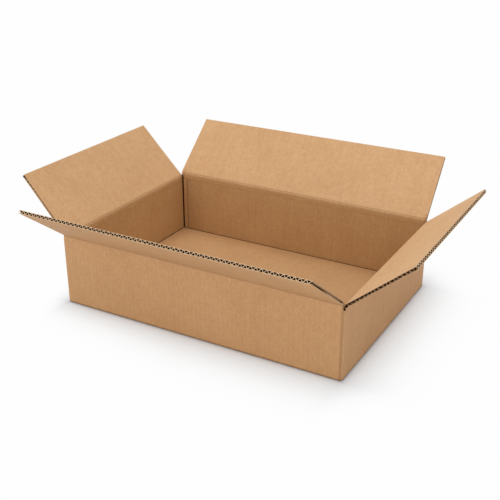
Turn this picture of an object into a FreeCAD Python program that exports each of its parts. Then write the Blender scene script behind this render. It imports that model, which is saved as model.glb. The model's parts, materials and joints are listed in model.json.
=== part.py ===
import FreeCAD, Part
import math
import os
from FreeCAD import Vector

# Open cardboard box with four flaps folded outward, in millimetres.
# The origin is the middle of the underside, +Z is up, and -Y is the front long wall.
# The body is one folded sheet: four walls and a closed bottom of two glued layers.
# Each flap is hinged on the fold line at the top of its wall.

# Outside of the body, with the height taken to the fold line of the long walls' flaps
BOX_LENGTH = 400.0
BOX_WIDTH = 280.0
BOX_HEIGHT = 98.0

# Single-wall corrugated board: two liners with a wavy medium between them
BOARD = 4.2
LINER = 0.5
MEDIUM = 0.35
FLUTE_PITCH = 6.35
FLUTE_BASE_SHARE = 0.79
FLUTE_SHOULDER_SHARE = 0.28
FLUTE_SHOULDER_RISE = 0.72

# Flaps: depth from the fold line to the free edge, how far they stop short of each corner at the fold,
# and how much narrower they get on each side by the free edge
FLAP_DEPTH = 97.0
LONG_FLAP_SLOT = 2.5
SHORT_FLAP_SLOT = 4.8
FLAP_TAPER = 3.0
CRUSHED_FOLD = 5.5

# Opening angles from upright, outward
FRONT_OPENING = 53.0
RIGHT_OPENING = 50.0
BACK_OPENING = 46.0
LEFT_OPENING = 43.0

# Hinge lines: how far outside the wall the axis lies, and the gap on each side of the mitred fold
AXIS_OFFSET = 0.15
MITRE_GAP = 0.15
CLOSED_GAP = 0.3

# Folds and scores of the body
CORNER_OUTER_RADIUS = 3.5
CORNER_INNER_RADIUS = 0.9
BOTTOM_ROUND = 1.5
FLOOR_GAP_WIDTH = 0.8
FLOOR_GAP_DEPTH = 1.4
UNDER_PANEL_SETBACK = 1.6
JOINT_SLIT_WIDTH = 1.8
JOINT_SLIT_DEPTH = 3.2
SCORE_DISTANCE = 5.5
SCORE_WIDTH = 0.8
SCORE_DEPTH = 0.35

# Worked out from the sizes above
BOTTOM_THICKNESS = 2 * BOARD
LONG_FOLD_HEIGHT = BOX_HEIGHT
SHORT_FOLD_HEIGHT = BOX_HEIGHT - BOARD - CLOSED_GAP
MITRE_DROP = MITRE_GAP * math.sqrt(2)
CORNER_TOP = SHORT_FOLD_HEIGHT - AXIS_OFFSET - MITRE_DROP
LONG_FLAP_WIDTH = BOX_LENGTH - 2 * LONG_FLAP_SLOT
SHORT_FLAP_WIDTH = BOX_WIDTH - 2 * SHORT_FLAP_SLOT
OVERCUT = 1.0

# Each side: turn about Z from the front, distance of the wall's face, fold height, flap width, opening
SIDES = {
    "front": (0, BOX_WIDTH / 2, LONG_FOLD_HEIGHT, LONG_FLAP_WIDTH, FRONT_OPENING),
    "right": (90, BOX_LENGTH / 2, SHORT_FOLD_HEIGHT, SHORT_FLAP_WIDTH, RIGHT_OPENING),
    "back": (180, BOX_WIDTH / 2, LONG_FOLD_HEIGHT, LONG_FLAP_WIDTH, BACK_OPENING),
    "left": (270, BOX_LENGTH / 2, SHORT_FOLD_HEIGHT, SHORT_FLAP_WIDTH, LEFT_OPENING),
}


def at_fold(shape, side):
    """Move a shape from the fold's own frame to its side of the box.

    In that frame X runs along the fold, Y points inward, Z points up and the axis is X.
    """
    turn, face_distance, fold_height, _, _ = SIDES[side]
    shape.translate(Vector(0, -face_distance - AXIS_OFFSET, fold_height))
    shape.rotate(Vector(0, 0, 0), Vector(0, 0, 1), turn)
    return shape


def along_fold(profile, width):
    """Extrude a closed profile of (inward, up) points along the fold, centred on it."""
    points = [Vector(-width / 2, inward, up) for inward, up in profile]
    face = Part.Face(Part.makePolygon(points + points[:1]))
    return face.extrude(Vector(width, 0, 0))


def rounded_block(length, width, radius, low, high):
    """Upright block with rounded vertical corners, centred on the Z axis."""
    half_length = length / 2
    half_width = width / 2
    edges = []
    for turn in range(4):
        reach_x, reach_y = (half_length, half_width) if turn % 2 == 0 else (half_width, half_length)
        centre = Vector(reach_x - radius, reach_y - radius, low)
        along = Vector(radius, 0, 0)
        bow = Vector(radius * math.cos(math.pi / 4), radius * math.sin(math.pi / 4), 0)
        arc = Part.Arc(centre + along, centre + bow, centre + Vector(0, radius, 0)).toShape()
        straight = Part.makeLine(Vector(reach_x - radius, reach_y, low), Vector(radius - reach_x, reach_y, low))
        for edge in (arc, straight):
            edge.rotate(Vector(0, 0, 0), Vector(0, 0, 1), 90 * turn)
            edges.append(edge)
    return Part.Face(Part.Wire(edges)).extrude(Vector(0, 0, high - low))


def wall_top_cutter(side):
    """Wedge that mitres the top of a wall over the width of its flap."""
    inner = AXIS_OFFSET + BOARD + OVERCUT
    profile = [(-OVERCUT, OVERCUT - MITRE_DROP), (inner, -inner - MITRE_DROP), (inner, OVERCUT), (-OVERCUT, OVERCUT)]
    return at_fold(along_fold(profile, SIDES[side][3]), side)


def floor_gap():
    """Narrow groove where the floor meets the four walls."""
    length = BOX_LENGTH - 2 * BOARD
    width = BOX_WIDTH - 2 * BOARD
    low = BOTTOM_THICKNESS - FLOOR_GAP_DEPTH
    high = BOTTOM_THICKNESS + OVERCUT
    ring = rounded_block(length, width, CORNER_INNER_RADIUS, low, high)
    inner_length = length - 2 * FLOOR_GAP_WIDTH
    inner_width = width - 2 * FLOOR_GAP_WIDTH
    return ring.cut(Part.makeBox(inner_length, inner_width, high - low,
                                 Vector(-inner_length / 2, -inner_width / 2, low)))


def under_panel_step():
    """Step under the back wall, where the outer bottom layer ends short of the wall's face."""
    return Part.makeBox(BOX_LENGTH, UNDER_PANEL_SETBACK, BOARD,
                        Vector(-BOX_LENGTH / 2, BOX_WIDTH / 2 - UNDER_PANEL_SETBACK, 0))


def back_wall_groove(distance, width, depth):
    """Upright groove inside the back wall, at a distance from the left inner corner."""
    left = -BOX_LENGTH / 2 + BOARD + distance
    face = BOX_WIDTH / 2 - BOARD
    return Part.makeBox(width, depth + OVERCUT, BOX_HEIGHT, Vector(left, face - OVERCUT, BOTTOM_THICKNESS))


def joint_slit():
    """Open slit in the rear left corner, where the sheet's two ends are joined."""
    return back_wall_groove(0, JOINT_SLIT_WIDTH, JOINT_SLIT_DEPTH)


def inner_score():
    """Second score line down the inside of the back wall, beside the slit."""
    return back_wall_groove(JOINT_SLIT_WIDTH + SCORE_DISTANCE, SCORE_WIDTH, SCORE_DEPTH)


def box_body():
    """Four walls and the two-layer bottom, folded from one sheet."""
    block = rounded_block(BOX_LENGTH, BOX_WIDTH, CORNER_OUTER_RADIUS, 0, CORNER_TOP)
    bottom_edges = [edge for edge in block.Edges if edge.BoundBox.ZMax < BOTTOM_ROUND / 10]
    body = block.makeFillet(BOTTOM_ROUND, bottom_edges)
    cavity = rounded_block(BOX_LENGTH - 2 * BOARD, BOX_WIDTH - 2 * BOARD, CORNER_INNER_RADIUS,
                           BOTTOM_THICKNESS, BOX_HEIGHT)
    body = body.cut(cavity)
    outline = rounded_block(BOX_LENGTH, BOX_WIDTH, CORNER_OUTER_RADIUS, 0, BOX_HEIGHT)
    for face_y in (-BOX_WIDTH / 2, BOX_WIDTH / 2 - BOARD):
        rim = Part.makeBox(LONG_FLAP_WIDTH, BOARD, LONG_FOLD_HEIGHT - CORNER_TOP,
                           Vector(-LONG_FLAP_WIDTH / 2, face_y, CORNER_TOP))
        body = body.fuse(rim.common(outline))
    for side in SIDES:
        body = body.cut(wall_top_cutter(side))
    for groove in (floor_gap(), under_panel_step(), joint_slit(), inner_score()):
        body = body.cut(groove)
    return body.removeSplitter()


def flute_void(centre, upside_down):
    """Closed outline of one flute opening between the liners, as (along, inward) points on a face."""
    depth = BOARD - 2 * LINER
    half_pitch = FLUTE_PITCH / 2
    base = FLUTE_BASE_SHARE * half_pitch
    shoulder = FLUTE_SHOULDER_SHARE * half_pitch
    rise = FLUTE_SHOULDER_RISE * depth
    crest = depth - MEDIUM

    def point(along, height):
        level = depth - height if upside_down else height
        return Vector(centre + along, AXIS_OFFSET + LINER + level, CRUSHED_FOLD)

    left_foot, left_top = point(-base, 0), point(-shoulder, rise)
    right_foot, right_top = point(base, 0), point(shoulder, rise)
    outline = [
        Part.makeLine(right_foot, left_foot),
        Part.makeLine(left_foot, left_top),
        Part.Arc(left_top, point(0, crest), right_top).toShape(),
        Part.makeLine(right_top, right_foot),
    ]
    return Part.Wire(outline)


def fluted_board(width):
    """Straight stretch of corrugated board from the crushed fold to the free edge, centred on the fold."""
    half_width = width / 2
    outer = AXIS_OFFSET
    inner = AXIS_OFFSET + BOARD
    corners = [(-half_width, outer), (half_width, outer), (half_width, inner), (-half_width, inner)]
    points = [Vector(along, inward, CRUSHED_FOLD) for along, inward in corners]
    wires = [Part.makePolygon(points + points[:1])]
    half_pitches = 2 * int(half_width / FLUTE_PITCH) - 1
    for step in range(-half_pitches, half_pitches + 1):
        wires.append(flute_void(step * FLUTE_PITCH / 2, step % 2 == 0))
    section = Part.makeFace(wires, "Part::FaceMakerBullseye")
    return section.extrude(Vector(0, 0, FLAP_DEPTH - CRUSHED_FOLD))


def flap_outline(width):
    """Block over the flap's own outline, which narrows a little towards the free edge."""
    half_fold = width / 2
    half_edge = half_fold - FLAP_TAPER
    corners = [(-half_fold, 0), (half_fold, 0), (half_edge, FLAP_DEPTH), (-half_edge, FLAP_DEPTH)]
    points = [Vector(along, 0, up) for along, up in corners]
    return Part.Face(Part.makePolygon(points + points[:1])).extrude(Vector(0, AXIS_OFFSET + BOARD + OVERCUT, 0))


def flap(side):
    """One flap: a crushed, mitred strip at the fold and fluted board out to the free edge."""
    width, opening = SIDES[side][3:]
    full_width = width + 2 * FLUTE_PITCH
    outer = AXIS_OFFSET
    inner = AXIS_OFFSET + BOARD
    root = along_fold([(outer, outer + MITRE_DROP), (inner, inner + MITRE_DROP),
                       (inner, CRUSHED_FOLD), (outer, CRUSHED_FOLD)], full_width)
    panel = root.fuse(fluted_board(full_width)).common(flap_outline(width)).removeSplitter()
    panel.rotate(Vector(0, 0, 0), Vector(1, 0, 0), opening)
    return at_fold(panel, side)


def main():
    os.makedirs("parts", exist_ok=True)
    nodes = {"box_body": box_body()}
    for side in SIDES:
        nodes[side + "_flap"] = flap(side)
    for name, shape in nodes.items():
        shape.exportStep("parts/" + name + ".step")
        box = shape.BoundBox
        print(name, "solids", len(shape.Solids), "valid", shape.isValid(), "volume", round(shape.Volume),
              "box", [round(value, 2) for value in (box.XMin, box.YMin, box.ZMin, box.XMax, box.YMax, box.ZMax)])


main()
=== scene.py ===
import json
import math
import random

import bmesh
import bpy
from mathutils import Matrix, Vector


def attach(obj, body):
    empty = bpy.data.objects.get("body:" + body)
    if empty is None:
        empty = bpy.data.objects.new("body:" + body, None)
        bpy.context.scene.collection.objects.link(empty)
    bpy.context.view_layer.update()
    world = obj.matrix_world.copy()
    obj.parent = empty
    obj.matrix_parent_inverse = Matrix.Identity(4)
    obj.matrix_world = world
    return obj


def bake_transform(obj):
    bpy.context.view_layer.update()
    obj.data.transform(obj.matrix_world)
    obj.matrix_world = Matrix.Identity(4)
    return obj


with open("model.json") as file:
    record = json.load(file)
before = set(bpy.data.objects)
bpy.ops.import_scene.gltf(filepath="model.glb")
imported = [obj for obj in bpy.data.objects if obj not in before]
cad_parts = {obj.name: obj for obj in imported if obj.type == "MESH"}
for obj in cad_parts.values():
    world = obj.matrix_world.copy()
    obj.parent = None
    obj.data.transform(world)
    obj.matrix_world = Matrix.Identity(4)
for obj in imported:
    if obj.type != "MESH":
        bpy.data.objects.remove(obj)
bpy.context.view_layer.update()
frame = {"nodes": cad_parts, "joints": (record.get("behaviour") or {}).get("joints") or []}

MM = 0.001

# Each flap's fold: its axis, its opening from upright in degrees and its turn around the box
FOLD = {joint["child"].replace("_flap", ""): Vector(joint["pos_m"]) for joint in frame["joints"]}
OPENING = {"front": 53, "right": 50, "back": 46, "left": 43}
TURN = {"front": 0, "right": 90, "back": 180, "left": 270}
LONG_SIDES = ("front", "back")

# Board, box and flaps, as the solids have them
BOARD = 4.2 * MM
LINER = 0.5 * MM
MEDIUM = 0.35 * MM
FLUTE_PITCH = 6.35 * MM
AXIS_OFFSET = 0.15 * MM
MITRE_GAP = 0.15 * MM
BOX_LENGTH = 2 * (FOLD["right"].x - AXIS_OFFSET)
BOX_WIDTH = 2 * (FOLD["back"].y - AXIS_OFFSET)
BOX_HEIGHT = FOLD["back"].z
LONG_FLAP_SLOT = 2.5 * MM
SHORT_FLAP_SLOT = 4.8 * MM
FLAP_DEPTH = 97 * MM
FLAP_TAPER = 3 * MM
CORNER_RADIUS = 3.5 * MM
JOINT_SLIT = 1.8 * MM
FLOOR_GAP = 0.8 * MM

# Liner over each fold: how it stands proud, overlaps the panels, creases and dips into the score
PROUD = 0.06 * MM
COVER_OVERLAP = 2.0 * MM
COVER_END_GAP = 0.1 * MM
COVER_STEP = 0.6 * MM
COVER_COLUMNS = 60
CREASE_DISTANCE = 1.9 * MM
CREASE_WIDTH = 0.6 * MM
CREASE_DEPTH = 0.25 * MM
CREASE_BULGE = 0.30 * MM
SCORE_LIP = 0.55 * MM
SCORE_DIP = 0.30 * MM

# Frayed fibres along each free edge, and the flute's shoulders as shares of half its pitch and of its depth
FRAY_OUT = 0.12 * MM
FRAY_IN = 0.4 * MM
FRAY_DROP = 0.1 * MM
FRAY_LINER = 0.5 * MM
FRAY_MEDIUM = 0.62 * MM
FRAY_HALVES = (0.38, 0.62)
FRAY_STEP = 1.6 * MM
FRAY_END_GAP = 0.1 * MM
FLUTE_SHOULDER = 0.30
FLUTE_SHOULDER_RISE = 0.80

# Surface colours, linear
KRAFT = (0.585, 0.322, 0.142, 1)
KRAFT_LIGHT = (0.612, 0.343, 0.156, 1)
KRAFT_DARK = (0.556, 0.300, 0.128, 1)
CUT_LINER = (0.62, 0.42, 0.25, 1)
FRAYED = (0.70, 0.49, 0.30, 1)
MEDIUM_BROWN = (0.40, 0.235, 0.12, 1)
# Painted shade: near-black deep inside the flute voids
VOID_SHADE_BROWN = (0.016, 0.008, 0.004, 1)
# Painted shade in the open slit of the rear joint
SLIT_SHADE_BROWN = (0.060, 0.028, 0.012, 1)
# Painted shadow at the top of the corner slots
SLOT_SHADOW_BROWN = (0.040, 0.017, 0.006, 1)
# Painted shade where the floor meets the walls
GAP_SHADE_BROWN = (0.19, 0.10, 0.048, 1)
# Painted shade along the creases and at the base of the walls
PAINTED_SHADE_BROWN = (0.20, 0.10, 0.045, 1)
# Painted shade down the right-hand folds
FOLD_SHADE_BROWN = (0.23, 0.105, 0.038, 1)
# Painted shade in the crushed flutes of the side cuts, near-black on the right flap
SIDE_CUT_SHADE_BROWN = (0.10, 0.055, 0.028, 1)
NEAR_SIDE_CUT_SHADE_BROWN = (0.020, 0.010, 0.005, 1)

# Tints over the kraft colour
NO_TINT = (1, 1, 1, 1)
# Painted shade: the inside walls and floor of the box made darker
INNER_WALL_SHADE_TINT = (0.915, 0.975, 0.965, 1)
INNER_FLOOR_SHADE_TINT = (0.92, 0.935, 0.93, 1)
FRONT_OUTSIDE_TINT = (0.955, 0.98, 1.0, 1)
# Inner faces of the flaps: a paler inner liner with a painted sheen, far the strongest on the right flap,
# which the light glances over
INNER_FLAP_SHEEN_TINT = {
    "front": (1.02, 1.07, 1.12, 1),
    "right": (1.12, 1.23, 1.38, 1),
    "back": (1.03, 1.09, 1.14, 1),
    "left": (1.03, 1.09, 1.15, 1),
}

# Paper: a cloudy tone, then layers of grain mixed in as soft light, then dark specks.
# A grain layer has its scales across and along the flutes, its detail, roughness and share,
# and the (noise, grey) stops between which it goes from dark to light.
CLOUD_NOISE = (18.0, 3.0, 0.55)
CLOUD_STOPS = [(0.20, KRAFT_DARK), (0.50, KRAFT), (0.80, KRAFT_LIGHT)]
PATCHES = (95.0, 95.0, 3.0, 0.6, 0.10, [(0.30, 0.25), (0.70, 0.75)])
MOTTLE = (330.0, 330.0, 3.0, 0.75, 0.27, [(0.30, 0.22), (0.70, 0.78)])
FIBRES = (1100.0, 1100.0, 4.0, 0.7, 0.42, [(0.30, 0.2), (0.70, 0.8)])
STREAKS = (900.0, 90.0, 3.0, 0.6, 0.16, [(0.35, 0.3), (0.65, 0.7)])
BANDS = (150.0, 7.0, 2.0, 0.6, 0.11, [(0.32, 0.32), (0.68, 0.68)])
SPECK_NOISE = (420.0, 1.0, 0.4)
SPECK_STOPS = [(0.70, 0.0), (0.78, 1.0)]
SPECK_SHARE = 0.25
# Painted shading that follows the washboard ridges: its share and greys
RIDGE_SHADE_SHARE = 0.38
RIDGE_SHADE_GREYS = [(-1.0, 0.40), (1.0, 0.60)]
PAPER_GLOSS = 0.5
PAPER_ROUGHNESS = 0.66
FRAY_NOISE = (700.0, 3.0, 0.7)
CUT_NOISE = (1500.0, 3.0, 0.7)

# Bump: noise scale, detail, roughness and height of each layer, and the washboard's height per part
BUMP_LAYERS = [(1400.0, 3.0, 0.65, 0.35), (160.0, 2.0, 0.5, 0.4)]
BUMP_STRENGTH = 0.35
BUMP_DISTANCE = 0.2 * MM
BODY_RIDGES = 0.5
FLAP_RIDGES = 0.35
COVER_RIDGES = 0.3
LONG_WALL_RIDGES = 0.35

# Painted shade on the body: the joint's slit and score, the inside of the box, the floor line, the
# right-hand folds, the slot ends and the base, with shades as (distance, grey) stops
EDGE_MARGIN = 0.2 * MM
BACK_WALL_REACH = 1.2 * MM
JOINT_SHADE = [(6.8 * MM, 1.0), (7.8 * MM, 0.55), (8.8 * MM, 0.80), (14 * MM, 0.90), (40 * MM, 1.0)]
FLOOR_TINT_TOP = 0.1 * MM
FLOOR_LINE_TOP = 0.6 * MM
FOLD_REACH = 1.8 * MM
FOLD_SHADE = [(-1.472, 0.0), (-0.896, 0.50), (-0.256, 0.34), (0.32, 0.0)]
SLOT_SHADE_DEPTH = 5.0 * MM
SLOT_SHADE_RAGGED = 3.0 * MM
SLOT_SHADE_TURN = 0.5
SLOT_NOISE = (900.0, 2.0, 0.5)
BASE_SHADE = [(0.0, 0.9), (1.25 * MM, 0.7), (3.5 * MM, 0.0)]
BASE_SHADE_REACH = 2 * MM

# Cut edges of the flaps
SKIN = 0.02 * MM
LINER_EDGE = 0.49 * MM
VOID_SHADE_DEPTH = 0.5 * MM
SIDE_CUT_REACH = 3 * MM
SIDE_GAP = 1.5 * MM
DASH_PITCH = 5.4 * MM
DASH_SLANT = 0.8
DASH_LEVEL = 0.5
DASH_WANDER = 6.0
DASH_NOISE = (90.0, 1.0, 0.5)
FRINGE_PITCH = 2.4 * MM
FRINGE_WIDTH = 1.1 * MM

# Painted shade along the crease lines on the fold covers: half width and share
WALL_CREASE = (0.8 * MM, 0.30)
FLAP_CREASE = (0.8 * MM, 0.45)
SCORE_CREASE = (1.2 * MM, 0.55)

# Floor: what it shows of the light falling on it near the box, and how it turns white with distance
FLOOR_SIZE = 30
FLOOR_DROP = 0.2 * MM
FLOOR_WHITE = (0.86, 0.86, 0.86, 1)
FLOOR_SEEN = (0.80, 0.86, 0.92, 1)
FLOOR_GLOW = 0.99
FLOOR_GLOW_SHARES = [(0, 0.0), (3 * MM, 0.25), (10 * MM, 0.45), (20 * MM, 0.60), (35 * MM, 0.77),
                     (50 * MM, 0.90), (70 * MM, 0.97), (100 * MM, 1.0)]
LIT_SIDE_FADE = 1.8
LIT_SIDE_GAIN = 0.4

# Lamps and world
WORLD_LIGHT = 0.70
LAMP_AIM = Vector((0, 0, 0.05))
LAMPS = {
    "top": {"place": (-0.3, 0.1, 2.4), "size": 1.2, "power": 21.0},
    "front": {"place": (-0.4, -2.2, 0.9), "size": 1.6, "power": 12.5},
    "right": {"place": (2.0, -0.8, 1.2), "size": 1.6, "power": 5.0},
    "back": {"place": (0.3, 1.2, 2.0), "size": 1.6, "power": 5.0},
}

# Camera: degrees, metres, and the focal length in pixels of the photograph's frame
CAMERA_AZIMUTH = 29.4
CAMERA_ELEVATION = 24.4
CAMERA_DISTANCE = 1.143
CAMERA_TARGET = Vector((0.0015, 0, 0.0657))
FOCAL_PIXELS = 852
FRAME_PIXELS = 500
SENSOR = 36


def fold_frame(side):
    """Row frame of a fold: X runs along it, Y points inward and Z up."""
    return Matrix.Translation(FOLD[side]) @ Matrix.Rotation(math.radians(TURN[side]), 4, "Z")


def flap_frame(side, share=1.0):
    """The fold's frame, turned outward by a share of the flap's opening. At 1, Z runs up the flap."""
    return fold_frame(side) @ Matrix.Rotation(math.radians(OPENING[side]) * share, 4, "X")


def half_flap_width(side):
    """Half of a flap's width at its fold."""
    if side in LONG_SIDES:
        return BOX_LENGTH / 2 - LONG_FLAP_SLOT
    return BOX_WIDTH / 2 - SHORT_FLAP_SLOT


def closed_mesh(name, vertices, faces):
    """New object from closed shells, with every face turned outward."""
    mesh = bpy.data.meshes.new(name)
    mesh.from_pydata(vertices, [], faces)
    mesh.validate()
    piece = bpy.data.objects.new(name, mesh)
    bpy.context.collection.objects.link(piece)
    outward = bmesh.new()
    outward.from_mesh(mesh)
    bmesh.ops.recalc_face_normals(outward, faces=outward.faces)
    outward.to_mesh(mesh)
    outward.free()
    return piece


def subdivided(points, step):
    """The same (inward, up) polyline with no piece longer than a step."""
    result = [points[0]]
    for first, second in zip(points, points[1:]):
        count = max(1, math.ceil((second - first).length / step))
        result += [first.lerp(second, index / count) for index in range(1, count + 1)]
    return result


def inner_profile(opening, flap_only=False):
    """Liner over the inside of the fold: up the wall, over two creases, and up the flap."""
    depth = BOARD + AXIS_OFFSET + PROUD
    up_flap = Vector((-math.sin(opening), math.cos(opening)))
    inner_normal = Vector((math.cos(opening), math.sin(opening)))
    meet = depth * math.tan(opening / 2)
    far = BOARD + AXIS_OFFSET + MITRE_GAP * math.sqrt(2) + COVER_OVERLAP + meet
    marks = [(far, 0.0), (CREASE_DISTANCE + CREASE_WIDTH, 0.0), (CREASE_DISTANCE, CREASE_DEPTH)]
    wall = [Vector((depth - sunk, meet - distance)) for distance, sunk in marks]
    flap = [up_flap * (distance - meet) + inner_normal * (depth - sunk)
            for distance, sunk in reversed(marks)]
    bulge = Vector((math.cos(opening / 2), math.sin(opening / 2))) * CREASE_BULGE
    middle = (wall[-1] + flap[0]) / 2 + bulge
    return ([] if flap_only else wall) + [middle] + flap


def outer_profile(opening):
    """Liner over the outside of the fold, which dips into the score between wall and flap."""
    near = AXIS_OFFSET - PROUD
    up_flap = Vector((-math.sin(opening), math.cos(opening)))
    inner_normal = Vector((math.cos(opening), math.sin(opening)))
    dip = Vector((math.cos(opening / 2), math.sin(opening / 2))) * SCORE_DIP
    wall = [Vector((near, -COVER_OVERLAP)), Vector((near, -SCORE_LIP))]
    flap = [up_flap * SCORE_LIP + inner_normal * near, up_flap * COVER_OVERLAP + inner_normal * near]
    return wall + [dip] + flap


def strip_mesh(name, profile, thickness_side, ends, place):
    """Closed strip of liner: the profile, given its thickness on one side, run along the fold."""
    rail = subdivided(profile, COVER_STEP)
    tangents = [(after - before).normalized()
                for before, after in zip(rail[:1] + rail[:-1], rail[1:] + rail[-1:])]
    under = [point + Vector((tangent.y, -tangent.x)) * thickness_side * LINER
             for point, tangent in zip(rail, tangents)]
    loop = rail + under[::-1]
    size = len(loop)
    start, end = ends
    positions = [start + (end - start) * column / COVER_COLUMNS for column in range(COVER_COLUMNS + 1)]
    vertices = [place @ Vector((along, inward, up)) for along in positions for inward, up in loop]
    faces = []
    for column in range(COVER_COLUMNS):
        here = column * size
        for index in range(size):
            following = (index + 1) % size
            faces.append((here + index, here + following, here + size + following, here + size + index))
    for base in (0, COVER_COLUMNS * size):
        for index in range(len(rail) - 1):
            faces.append((base + index, base + index + 1, base + size - 2 - index, base + size - 1 - index))
    strip = closed_mesh(name, vertices, faces)
    for polygon in strip.data.polygons:
        polygon.use_smooth = True
    return strip


def cover_strips(side):
    """Strips of liner inside and outside one fold, each with its material.

    The joint's slit parts the back wall's cover, and only the flap's half of it goes on over the slit.
    """
    opening = math.radians(OPENING[side])
    place = fold_frame(side)
    half = half_flap_width(side) - COVER_END_GAP
    corner = BOX_LENGTH / 2 - BOARD
    slit = (corner - JOINT_SLIT - COVER_END_GAP, corner + COVER_END_GAP)
    inner_end = slit[0] if side == "back" else half
    inside = inner_cover_material(side)
    outside = outer_cover_material(side)
    folded = inner_profile(opening)
    inner_strip = strip_mesh(side + "_fold_inside", folded, -1, (-half, inner_end), place)
    outer_strip = strip_mesh(side + "_fold_outside", outer_profile(opening), 1, (-half, half), place)
    strips = [(inner_strip, inside), (outer_strip, outside)]
    if side == "back":
        past = strip_mesh("back_fold_past_slit", folded, -1, (slit[1], half), place)
        over = strip_mesh("back_fold_over_slit", inner_profile(opening, True), -1, slit, place)
        strips += [(past, inside), (over, inside)]
    return strips


def fold_covers():
    """Liner inside and outside every fold, bent to its flap's opening."""
    for side in OPENING:
        for strip, material in cover_strips(side):
            strip.data.materials.append(material)
            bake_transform(strip)


def flute_path(half_width):
    """Middle of the wavy medium across a free edge, as (along, inward) points."""
    depth = BOARD - 2 * LINER
    half_pitch = FLUTE_PITCH / 2
    last = int(half_width / half_pitch)
    points = []
    for step in range(-last, last + 1):
        crest = depth - MEDIUM / 2 if step % 2 else MEDIUM / 2
        shoulder = depth * (FLUTE_SHOULDER_RISE if step % 2 else 1 - FLUTE_SHOULDER_RISE)
        for offset, level in ((-FLUTE_SHOULDER, shoulder), (0, crest), (FLUTE_SHOULDER, shoulder)):
            along = (step + offset) * half_pitch
            if abs(along) < half_width:
                points.append(Vector((along, AXIS_OFFSET + LINER + level)))
    return points


def add_bar(vertices, faces, points, thickness, place, chance):
    """Add a thin uneven bar that follows (along, inward) points just above the free edge."""
    low, high = FLAP_DEPTH - FRAY_IN, FLAP_DEPTH + FRAY_OUT
    base = len(vertices)
    for index, point in enumerate(points):
        before, after = points[max(index - 1, 0)], points[min(index + 1, len(points) - 1)]
        across = Vector((-(after - before).y, (after - before).x)).normalized()
        half = thickness * chance.uniform(*FRAY_HALVES)
        top = high - chance.uniform(0.0, FRAY_DROP)
        for spot in (point - across * half, point + across * half):
            vertices += [place @ Vector((spot.x, spot.y, level)) for level in (low, top)]
    for here in range(base, len(vertices) - 4, 4):
        for first, second in ((0, 1), (1, 3), (3, 2), (2, 0)):
            faces.append((here + first, here + second, here + 4 + second, here + 4 + first))
    end = len(vertices) - 4
    faces.append((base, base + 2, base + 3, base + 1))
    faces.append((end, end + 1, end + 3, end + 2))


def fray(side):
    """Slightly swollen cut edges of both liners and the medium along a flap's free edge."""
    half_width = half_flap_width(side) - FLAP_TAPER - FRAY_END_GAP
    chance = random.Random(side)
    place = flap_frame(side)
    vertices, faces = [], []
    count = int(half_width / FRAY_STEP)
    for level in (AXIS_OFFSET + FRAY_LINER / 2, AXIS_OFFSET + BOARD - FRAY_LINER / 2):
        line = [Vector((half_width * step / count, level)) for step in range(-count, count + 1)]
        add_bar(vertices, faces, line, FRAY_LINER, place, chance)
    add_bar(vertices, faces, flute_path(half_width), FRAY_MEDIUM, place, chance)
    return closed_mesh(side + "_frayed_edge", vertices, faces)


def frayed_edges():
    """Pale cut fibres along every flap's free edge."""
    nodes = Nodes(bpy.data.materials.new("frayed_fibres"))
    place = nodes.coordinates()
    tone = nodes.ramp(nodes.noise(place, *FRAY_NOISE), [(0.30, KRAFT_LIGHT), (0.55, FRAYED)])
    material = finish_board(nodes, tone, place)
    for side in OPENING:
        piece = fray(side)
        piece.data.materials.append(material)
        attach(piece, side + "_flap")


def grey(value):
    return (value, value, value, 1)


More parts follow.
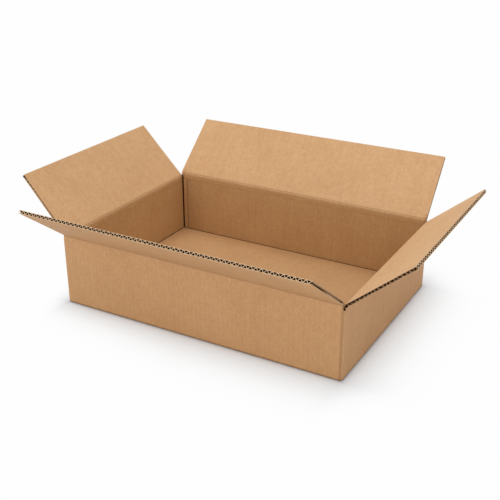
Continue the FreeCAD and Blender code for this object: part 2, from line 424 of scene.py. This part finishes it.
class Nodes:
    """Short calls for building the node tree of one material or world."""

    def __init__(self, owner):
        self.owner = owner
        owner.use_nodes = True
        self.tree = owner.node_tree
        self.tree.nodes.clear()

    def add(self, kind, **values):
        node = self.tree.nodes.new(kind)
        for name, value in values.items():
            setattr(node, name, value)
        return node

    def put(self, value, socket):
        """Link a socket's output to an input, or set the input to a plain value."""
        if isinstance(value, bpy.types.NodeSocket):
            self.tree.links.new(value, socket)
        else:
            socket.default_value = value

    def feed(self, node, **sockets):
        """Fill inputs by name, with _ for a space."""
        for name, value in sockets.items():
            self.put(value, node.inputs[name.replace("_", " ")])
        return node

    def math(self, operation, first, second=0.0, clamp=False):
        node = self.add("ShaderNodeMath", operation=operation, use_clamp=clamp)
        self.put(first, node.inputs[0])
        self.put(second, node.inputs[1])
        return node.outputs[0]

    def product(self, first, *others):
        """Product of values. Of masks, where all of them hold."""
        for other in others:
            first = self.math("MULTIPLY", first, other)
        return first

    def largest(self, first, *others):
        """Largest of values. Of masks, where any of them holds."""
        for other in others:
            first = self.math("MAXIMUM", first, other)
        return first

    def above(self, value, limit):
        return self.math("GREATER_THAN", value, limit)

    def below(self, value, limit):
        return self.math("LESS_THAN", value, limit)

    def magnitude(self, value):
        return self.math("ABSOLUTE", value)

    def mix(self, share, first, second, blend="MIX"):
        node = self.add("ShaderNodeMix", data_type="RGBA", blend_type=blend)
        self.put(share, node.inputs[0])
        self.put(first, node.inputs[6])
        self.put(second, node.inputs[7])
        return node.outputs[2]

    def tinted(self, colour, tint):
        return self.mix(1.0, colour, tint, "MULTIPLY")

    def noise(self, vector, scale, detail, roughness):
        node = self.add("ShaderNodeTexNoise")
        self.feed(node, Vector=vector, Scale=scale, Detail=detail, Roughness=roughness)
        return node.outputs["Fac"]

    def stretch(self, vector, scale):
        return self.feed(self.add("ShaderNodeMapping"), Vector=vector, Scale=scale).outputs["Vector"]

    def split(self, vector):
        """X, Y and Z of a vector."""
        node = self.add("ShaderNodeSeparateXYZ")
        self.put(vector, node.inputs[0])
        return node.outputs

    def coordinates(self, matrix=None):
        """Object coordinates, or those in a frame that stands at a matrix."""
        spot = self.add("ShaderNodeTexCoord").outputs["Object"]
        if matrix is None:
            return spot
        turned = self.add("ShaderNodeMapping", vector_type="TEXTURE")
        self.feed(turned, Vector=spot, Location=matrix.translation, Rotation=matrix.to_euler("XYZ"))
        return turned.outputs["Vector"]

    def ramp(self, value, stops):
        """Colour that runs through (position, colour) stops between 0 and 1."""
        node = self.add("ShaderNodeValToRGB")
        elements = node.color_ramp.elements
        while len(elements) < len(stops):
            elements.new(0.5)
        for element, (position, colour) in zip(elements, stops):
            element.position = position
            element.color = colour
        self.put(value, node.inputs["Fac"])
        return node.outputs["Color"]

    def follow(self, value, stops):
        """Grey that runs through (value, grey) stops of any range."""
        low, high = stops[0][0], stops[-1][0]
        share = self.math("DIVIDE", self.math("SUBTRACT", value, low), high - low)
        return self.ramp(share, [((at - low) / (high - low), grey(shade)) for at, shade in stops])

    def seen(self):
        """1 for rays from the camera, mirrored ones and ones through glass."""
        path = self.add("ShaderNodeLightPath")
        kinds = ("Is Camera Ray", "Is Glossy Ray", "Is Transmission Ray")
        return self.largest(*(path.outputs[kind] for kind in kinds))

    def finish(self, shader, kind="ShaderNodeOutputMaterial"):
        self.put(shader.outputs[0], self.add(kind).inputs["Surface"])
        return self.owner


def kraft_colour(nodes, place, ridges=None):
    """Brown kraft liner. Z is the direction of the flutes, and ridges show as faint painted shading."""
    colour = nodes.ramp(nodes.noise(place, *CLOUD_NOISE), CLOUD_STOPS)
    for across, along, detail, roughness, share, stops in (PATCHES, MOTTLE, FIBRES, STREAKS, BANDS):
        grain = nodes.noise(nodes.stretch(place, (across, across, along)), 1.0, detail, roughness)
        tone = nodes.ramp(grain, [(at, grey(value)) for at, value in stops])
        colour = nodes.mix(share, colour, tone, "SOFT_LIGHT")
    # Painted shading along the ridges
    if ridges is not None:
        colour = nodes.mix(RIDGE_SHADE_SHARE, colour, nodes.follow(ridges, RIDGE_SHADE_GREYS), "SOFT_LIGHT")
    specks = nodes.ramp(nodes.noise(place, *SPECK_NOISE), [(at, grey(value)) for at, value in SPECK_STOPS])
    return nodes.mix(nodes.product(specks, SPECK_SHARE), colour, KRAFT_DARK)


def washboard(nodes, along):
    """Faint ridges over the flutes, from -1 to 1."""
    return nodes.math("SINE", nodes.product(along, 2 * math.pi / FLUTE_PITCH))


def finish_board(nodes, colour, place, ridges=0.0, ridge_height=0.0, hidden=None):
    """Matt paper with a fine fibrous bump, the flutes' faint ridges and no gloss in hidden gaps."""
    gloss = PAPER_GLOSS
    if hidden is not None:
        gloss = nodes.product(nodes.math("SUBTRACT", 1.0, hidden), PAPER_GLOSS)
    height = nodes.product(ridges, ridge_height)
    for scale, detail, roughness, share in BUMP_LAYERS:
        grain = nodes.noise(place, scale, detail, roughness)
        height = nodes.math("ADD", height, nodes.product(grain, share))
    bump = nodes.add("ShaderNodeBump")
    nodes.feed(bump, Strength=BUMP_STRENGTH, Distance=BUMP_DISTANCE, Height=height)
    shader = nodes.add("ShaderNodeBsdfPrincipled")
    nodes.feed(shader, Base_Color=colour, Roughness=PAPER_ROUGHNESS, Specular_IOR_Level=gloss)
    nodes.feed(shader, Normal=bump.outputs["Normal"])
    return nodes.finish(shader)


def body_ridges(nodes, x, y):
    """Ridges over the upright flutes of the walls, weaker on the long walls and absent from the floor."""
    normal = nodes.split(nodes.add("ShaderNodeNewGeometry").outputs["Normal"])
    end_wall = nodes.above(nodes.magnitude(normal[0]), 0.5)
    long_wall = nodes.math("SUBTRACT", 1.0, end_wall)
    upright = nodes.below(nodes.magnitude(normal[2]), 0.5)
    along = nodes.math("ADD", nodes.product(end_wall, y), nodes.product(long_wall, x))
    strength = nodes.math("ADD", nodes.product(end_wall, 1 - LONG_WALL_RIDGES), LONG_WALL_RIDGES)
    return nodes.product(washboard(nodes, along), upright, strength)


def joint_marks(nodes, colour, x, y, inner):
    """Rear left corner: painted shade in the open slit, a strip beside it, and painted shade at the score
    that ends the strip, fading along the back wall.
    """
    along = nodes.math("ADD", x, BOX_LENGTH / 2 - BOARD)
    on_back = nodes.product(inner, nodes.above(y, BOX_WIDTH / 2 - BOARD - BACK_WALL_REACH))
    # Painted shade: dark at the score, fading along the back wall
    colour = nodes.mix(on_back, colour, nodes.tinted(colour, nodes.follow(along, JOINT_SHADE)))
    slit = nodes.product(on_back, nodes.below(along, JOINT_SLIT + EDGE_MARGIN))
    return nodes.mix(slit, colour, SLIT_SHADE_BROWN), slit


def fold_marks(nodes, colour, place, x, z, from_end, from_side):
    """Painted shade as a soft dark crease down the rounded right-hand folds, away from the light, and a
    painted shadow at the end of the slot above each.
    """
    past_end, past_side = (nodes.math("SUBTRACT", value, CORNER_RADIUS) for value in (from_end, from_side))
    turn = nodes.math("DIVIDE", nodes.math("SUBTRACT", past_side, past_end), CORNER_RADIUS)
    on_fold = nodes.product(nodes.below(past_end, FOLD_REACH), nodes.below(past_side, FOLD_REACH),
                            nodes.above(x, 0.0))
    # Painted shade down the fold, on the right-hand folds only
    crease = nodes.product(on_fold, nodes.follow(turn, FOLD_SHADE))
    colour = nodes.mix(crease, colour, FOLD_SHADE_BROWN)
    # Painted shadow where the slot between the flaps ends at the top of the fold
    ragged = nodes.product(nodes.noise(place, *SLOT_NOISE), SLOT_SHADE_RAGGED)
    high = nodes.above(nodes.math("ADD", z, ragged), BOX_HEIGHT - SLOT_SHADE_DEPTH)
    slot_shadow = nodes.product(on_fold, nodes.below(nodes.magnitude(turn), SLOT_SHADE_TURN), high)
    return nodes.mix(slot_shadow, colour, SLOT_SHADOW_BROWN), slot_shadow


def body_material():
    """Board of the walls and floor. Flutes run upright, so the ridges repeat around the box."""
    nodes = Nodes(bpy.data.materials.new("kraft_walls"))
    place = nodes.coordinates()
    x, y, z = nodes.split(place)
    ridges = body_ridges(nodes, x, y)
    colour = kraft_colour(nodes, place, ridges)
    from_end, from_side = (nodes.math("SUBTRACT", half, nodes.magnitude(value))
                           for half, value in ((BOX_LENGTH / 2, x), (BOX_WIDTH / 2, y)))
    from_outside = nodes.math("MINIMUM", from_end, from_side)
    inner = nodes.product(nodes.above(from_outside, BOARD / 2), nodes.above(z, BOARD))
    # Painted shade over the inside walls and floor
    above_floor = nodes.above(z, 2 * BOARD + FLOOR_TINT_TOP)
    inner_shade_tint = nodes.mix(above_floor, INNER_FLOOR_SHADE_TINT, INNER_WALL_SHADE_TINT)
    colour = nodes.mix(inner, colour, nodes.tinted(colour, inner_shade_tint))
    colour, slit = joint_marks(nodes, colour, x, y, inner)

    # Painted shade: a dark line where the floor meets the walls
    near_wall = nodes.below(from_outside, BOARD + FLOOR_GAP + EDGE_MARGIN)
    floor_line_shade = nodes.product(inner, near_wall, nodes.below(z, 2 * BOARD + FLOOR_LINE_TOP))
    colour = nodes.mix(floor_line_shade, colour, GAP_SHADE_BROWN)

    colour, slot_shadow = fold_marks(nodes, colour, place, x, z, from_end, from_side)

    # Painted shade: the bottom fold darkened where it touches the table, for the contact shadow
    base_shade = nodes.product(nodes.below(from_outside, BASE_SHADE_REACH), nodes.follow(z, BASE_SHADE))
    colour = nodes.mix(base_shade, colour, PAINTED_SHADE_BROWN)
    return finish_board(nodes, colour, place, ridges, BODY_RIDGES, nodes.largest(slit, floor_line_shade, slot_shadow))


def side_cut_colour(nodes, side, place, inward, up):
    """Side cuts of a flap: painted shade in the crushed flutes as dark slanting dashes, and a fine fringe
    by the outer liner.
    """
    slant = nodes.math("ADD", up, nodes.product(inward, DASH_SLANT))
    wander = nodes.product(nodes.noise(place, *DASH_NOISE), DASH_WANDER)
    turns = nodes.math("ADD", nodes.product(slant, 2 * math.pi / DASH_PITCH), wander)
    between_dashes = nodes.above(nodes.math("SINE", turns), DASH_LEVEL)
    comb = nodes.above(nodes.math("SINE", nodes.product(up, 2 * math.pi / FRINGE_PITCH)), 0.0)
    fringe = nodes.product(comb, nodes.below(inward, LINER + FRINGE_WIDTH))
    dash_shade = NEAR_SIDE_CUT_SHADE_BROWN if side == "right" else SIDE_CUT_SHADE_BROWN
    colour = nodes.mix(nodes.largest(between_dashes, fringe), dash_shade, MEDIUM_BROWN)
    if side == "right":
        return colour
    from_middle = nodes.magnitude(nodes.math("SUBTRACT", inward, BOARD / 2))
    return nodes.mix(nodes.above(from_middle, SIDE_GAP / 2), colour, CUT_LINER)


def flap_material(side):
    """Board of a flap: kraft liners outside, pale cut liners and the medium at the cut edges, with painted
    shade deeper in the flutes.
    """
    nodes = Nodes(bpy.data.materials.new("kraft_" + side + "_flap"))
    place = nodes.coordinates(flap_frame(side))
    along, from_axis, up = nodes.split(place)
    inward = nodes.math("SUBTRACT", from_axis, AXIS_OFFSET)
    outer_tint = FRONT_OUTSIDE_TINT if side == "front" else NO_TINT
    # Inner face: paler, with a painted sheen
    tint = nodes.mix(nodes.above(inward, BOARD / 2), outer_tint, INNER_FLAP_SHEEN_TINT[side])
    colour = nodes.tinted(kraft_colour(nodes, place), tint)

    # Cut edges: everything between the faces, with the core between the liners, and painted shade in the
    # flutes away from the cut face
    cut = nodes.product(nodes.above(inward, SKIN), nodes.below(inward, BOARD - SKIN))
    core = nodes.product(nodes.above(inward, LINER_EDGE), nodes.below(inward, BOARD - LINER_EDGE))
    side_edge = nodes.math("SUBTRACT", half_flap_width(side), nodes.product(up, FLAP_TAPER / FLAP_DEPTH))
    side_depth = nodes.math("SUBTRACT", side_edge, nodes.magnitude(along))
    free_depth = nodes.math("SUBTRACT", FLAP_DEPTH, up)
    near_side = nodes.below(side_depth, SIDE_CUT_REACH)
    at_side = nodes.product(near_side, nodes.above(free_depth, SIDE_CUT_REACH))
    void_shade = nodes.mix(at_side, VOID_SHADE_BROWN, side_cut_colour(nodes, side, place, inward, up))
    rough = nodes.noise(place, *CUT_NOISE)
    inside = nodes.math("DIVIDE", free_depth, VOID_SHADE_DEPTH, clamp=True)
    medium = nodes.mix(inside, nodes.ramp(rough, [(0.35, KRAFT_DARK), (0.70, CUT_LINER)]), void_shade)
    liner = nodes.ramp(rough, [(0.30, KRAFT), (0.62, CUT_LINER)])
    colour = nodes.mix(cut, colour, nodes.mix(core, liner, medium))
    hidden = nodes.product(cut, core, inside)
    return finish_board(nodes, colour, place, washboard(nodes, along), FLAP_RIDGES, hidden)


def cover_material(name, side, creases, wall_tint, flap_tint):
    """Liner over a fold, with painted shade along its creases: (height at rest, (half width, share))."""
    nodes = Nodes(bpy.data.materials.new("kraft_" + side + name))
    place = nodes.coordinates(flap_frame(side, 0.5))
    along, _, across = nodes.split(place)
    rise = nodes.math("ADD", nodes.math("DIVIDE", across, 2 * CREASE_DISTANCE), 0.5, clamp=True)
    colour = nodes.tinted(kraft_colour(nodes, place), nodes.mix(rise, wall_tint, flap_tint))
    for middle, (half_width, share) in creases:
        away = nodes.magnitude(nodes.math("SUBTRACT", across, middle))
        near = nodes.math("SUBTRACT", 1.0, nodes.math("DIVIDE", away, half_width), clamp=True)
        colour = nodes.mix(nodes.product(near, share), colour, PAINTED_SHADE_BROWN)
    return finish_board(nodes, colour, place, washboard(nodes, along), COVER_RIDGES)


def inner_cover_material(side):
    crease = CREASE_DISTANCE * math.cos(math.radians(OPENING[side]) / 2)
    creases = [(-crease, WALL_CREASE), (crease, FLAP_CREASE)]
    return cover_material("_fold_inside", side, creases, INNER_WALL_SHADE_TINT, INNER_FLAP_SHEEN_TINT[side])


def outer_cover_material(side):
    flap_tint = FRONT_OUTSIDE_TINT if side == "front" else NO_TINT
    return cover_material("_fold_outside", side, [(0.0, SCORE_CREASE)], NO_TINT, flap_tint)


def finish_cad_nodes():
    """Give every CAD node its board material."""
    for name, node in frame["nodes"].items():
        material = body_material() if name == "box_body" else flap_material(name.replace("_flap", ""))
        node.data.materials.clear()
        node.data.materials.append(material)


def floor_whiteness(nodes):
    """Share of plain white in what the camera sees of the floor: it grows with distance from the box."""
    x, y, _ = nodes.split(nodes.coordinates())
    past_end, past_side = (nodes.largest(nodes.math("SUBTRACT", nodes.magnitude(value), half), 0.0)
                           for value, half in ((x, BOX_LENGTH / 2), (y, BOX_WIDTH / 2)))
    on_left = nodes.math("ADD", nodes.product(nodes.below(x, 0.0), LIT_SIDE_FADE - 1), 1.0)
    leftward = nodes.math("DIVIDE", x, -BOX_LENGTH / 2, clamp=True)
    gain = nodes.math("ADD", nodes.product(leftward, LIT_SIDE_GAIN), 1.0)
    away = nodes.product(nodes.math("ADD", nodes.product(past_end, on_left), past_side), gain)
    return nodes.follow(away, FLOOR_GLOW_SHARES)


def stage():
    """Plain white floor that keeps the shadow, and a world that is white to the camera."""
    bpy.ops.mesh.primitive_plane_add(size=FLOOR_SIZE, location=(0, 0, -FLOOR_DROP))
    floor = bpy.context.object
    floor.name = "floor"
    nodes = Nodes(bpy.data.materials.new("floor_white"))
    seen = nodes.seen()
    paint = nodes.feed(nodes.add("ShaderNodeBsdfDiffuse"), Color=nodes.mix(seen, FLOOR_WHITE, FLOOR_SEEN))
    glow = nodes.feed(nodes.add("ShaderNodeEmission"), Strength=FLOOR_GLOW)
    both = nodes.feed(nodes.add("ShaderNodeMixShader"), Fac=nodes.product(seen, floor_whiteness(nodes)))
    nodes.put(paint.outputs[0], both.inputs[1])
    nodes.put(glow.outputs[0], both.inputs[2])
    floor.data.materials.append(nodes.finish(both))

    world = bpy.data.worlds.new("studio")
    bpy.context.scene.world = world
    nodes = Nodes(world)
    strength = nodes.math("ADD", nodes.product(nodes.seen(), 1 - WORLD_LIGHT), WORLD_LIGHT)
    background = nodes.feed(nodes.add("ShaderNodeBackground"), Strength=strength)
    nodes.finish(background, "ShaderNodeOutputWorld")


def lamps():
    """Large soft lamps around the box."""
    for name, values in LAMPS.items():
        light = bpy.data.lights.new(name, "AREA")
        light.shape = "SQUARE"
        light.size = values["size"]
        light.energy = values["power"]
        lamp = bpy.data.objects.new(name, light)
        lamp.location = values["place"]
        lamp.rotation_euler = (LAMP_AIM - lamp.location).to_track_quat("-Z", "Y").to_euler()
        bpy.context.collection.objects.link(lamp)


def camera():
    """Camera at the photograph's viewing angle."""
    azimuth = math.radians(CAMERA_AZIMUTH)
    elevation = math.radians(CAMERA_ELEVATION)
    level = math.cos(elevation)
    back = Vector((math.sin(azimuth) * level, -math.cos(azimuth) * level, math.sin(elevation)))
    data = bpy.data.cameras.new("camera")
    data.sensor_width = SENSOR
    data.lens = FOCAL_PIXELS * SENSOR / FRAME_PIXELS
    eye = bpy.data.objects.new("camera", data)
    eye.location = CAMERA_TARGET + back * CAMERA_DISTANCE
    eye.rotation_euler = back.to_track_quat("Z", "Y").to_euler()
    bpy.context.collection.objects.link(eye)
    bpy.context.scene.camera = eye


finish_cad_nodes()
fold_covers()
frayed_edges()
stage()
lamps()
camera()
bpy.context.scene.view_settings.view_transform = "Standard"
